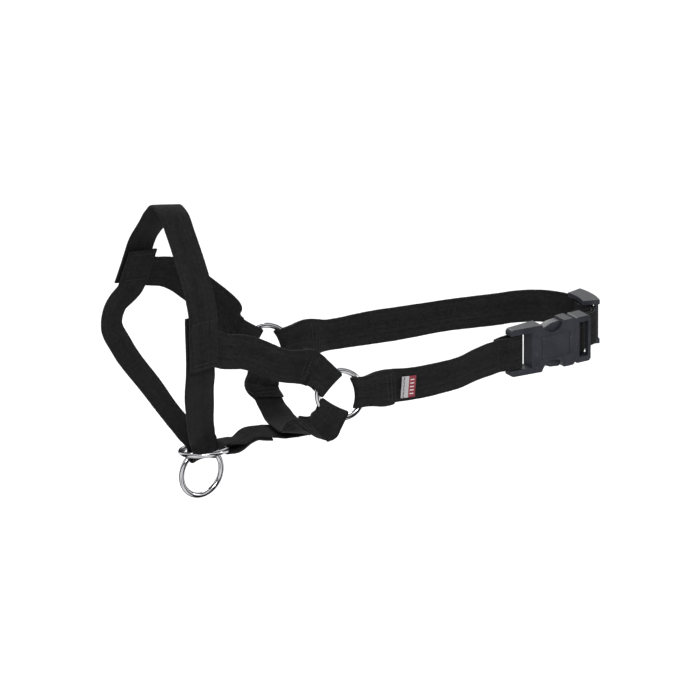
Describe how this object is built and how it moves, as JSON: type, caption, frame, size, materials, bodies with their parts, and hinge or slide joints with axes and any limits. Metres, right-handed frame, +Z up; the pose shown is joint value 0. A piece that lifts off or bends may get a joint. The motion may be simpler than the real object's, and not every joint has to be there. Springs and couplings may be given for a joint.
{
  "type": "head halter",
  "caption": "Pet head halter of flat webbing: noseband, cheek, chin and throat straps on metal rings, and a neck strap with a side-release buckle and a slider.",
  "frame": {"origin": "centre of the muzzle loop", "axes": "+X from the nose back to the neck, -Y to the cheek with the buckle, +Z up, as the halter is worn"},
  "size_m": [0.3036, 0.1052, 0.1815],
  "materials": {
    "webbing": "plain woven nylon webbing",
    "ring_steel": "nickel-plated and polished",
    "buckle_plastic": "semi-gloss moulded",
    "tag": "woven label, plain",
    "thread": "bonded nylon thread"
  },
  "bodies": {
    "halter": {"nose_strap_upper": "webbing", "nose_strap_lower": "webbing", "cheek_strap_near": "webbing", "cheek_strap_far": "webbing", "throat_strap": "webbing", "chin_strap": "webbing", "collar_strap_near": "webbing", "collar_strap_far": "webbing", "adjuster_loop": "webbing", "buckle_socket": "buckle_plastic", "woven_tag": "tag", "nose_stitches_near": "thread", "nose_stitches_far": "thread", "cheek_stitches_near": "thread", "cheek_stitches_far": "thread", "throat_stitches_near": "thread", "throat_stitches_far": "thread", "chin_stitches": "thread", "throat_join_stitches": "thread", "collar_stitches_near": "thread", "collar_stitches_far": "thread", "socket_stitches": "thread", "slider_stitches": "thread", "tag_stitches": "thread"},
    "near_cheek_ring": {"cheek_ring_near": "ring_steel"},
    "far_cheek_ring": {"cheek_ring_far": "ring_steel"},
    "chin_o_ring": {"chin_ring": "ring_steel"},
    "lead_o_ring": {"lead_ring": "ring_steel"},
    "plug": {"buckle_plug": "buckle_plastic"},
    "upper_prong": {"prong_upper": "buckle_plastic"},
    "lower_prong": {"prong_lower": "buckle_plastic"},
    "slider": {"strap_slider": "buckle_plastic"}
  },
  "joints": [
    {"name": "near_ring_turn", "type": "hinge", "parent": "halter", "child": "near_cheek_ring", "pos_m": [0.085, -0.042, -0.041], "axis": [-0.2005, -0.9222, 0.3308], "continuous": true},
    {"name": "far_ring_turn", "type": "hinge", "parent": "halter", "child": "far_cheek_ring", "pos_m": [0.085, 0.042, -0.04], "axis": [-0.2005, -0.9222, 0.3308], "continuous": true},
    {"name": "chin_ring_turn", "type": "hinge", "parent": "halter", "child": "chin_o_ring", "pos_m": [0.02, 0, -0.076], "axis": [-0.02, 0.14, 0.99], "continuous": true},
    {"name": "lead_ring_swing", "type": "hinge", "parent": "halter", "child": "lead_o_ring", "pos_m": [0.0178, 0, -0.07733], "axis": [0.9968, 0.0797, 0], "range_deg": [-25, 25]},
    {"name": "plug_slide", "type": "slide", "parent": "halter", "child": "plug", "axis": [0.9972, 0.075, 0], "range_m": [0, 0.03], "deforming": ["adjuster_loop", "prong_upper", "prong_lower"]},
    {"name": "upper_prong_bend", "type": "hinge", "parent": "plug", "child": "upper_prong", "pos_m": [0.24552, -0.02965, -0.0304], "axis": [-0.075, 0.9972, 0], "range_deg": [-9, 0], "stiffness_Nm_per_rad": 0.5},
    {"name": "lower_prong_bend", "type": "hinge", "parent": "plug", "child": "lower_prong", "pos_m": [0.24552, -0.02965, -0.0496], "axis": [-0.075, 0.9972, 0], "range_deg": [0, 9], "stiffness_Nm_per_rad": 0.5},
    {"name": "slider_slide", "type": "hinge", "parent": "halter", "child": "slider", "pos_m": [0.23502, -0.00237, -0.04], "axis": [0, 0, 1], "range_deg": [0, 38], "deforming": ["adjuster_loop"]}
  ]
}
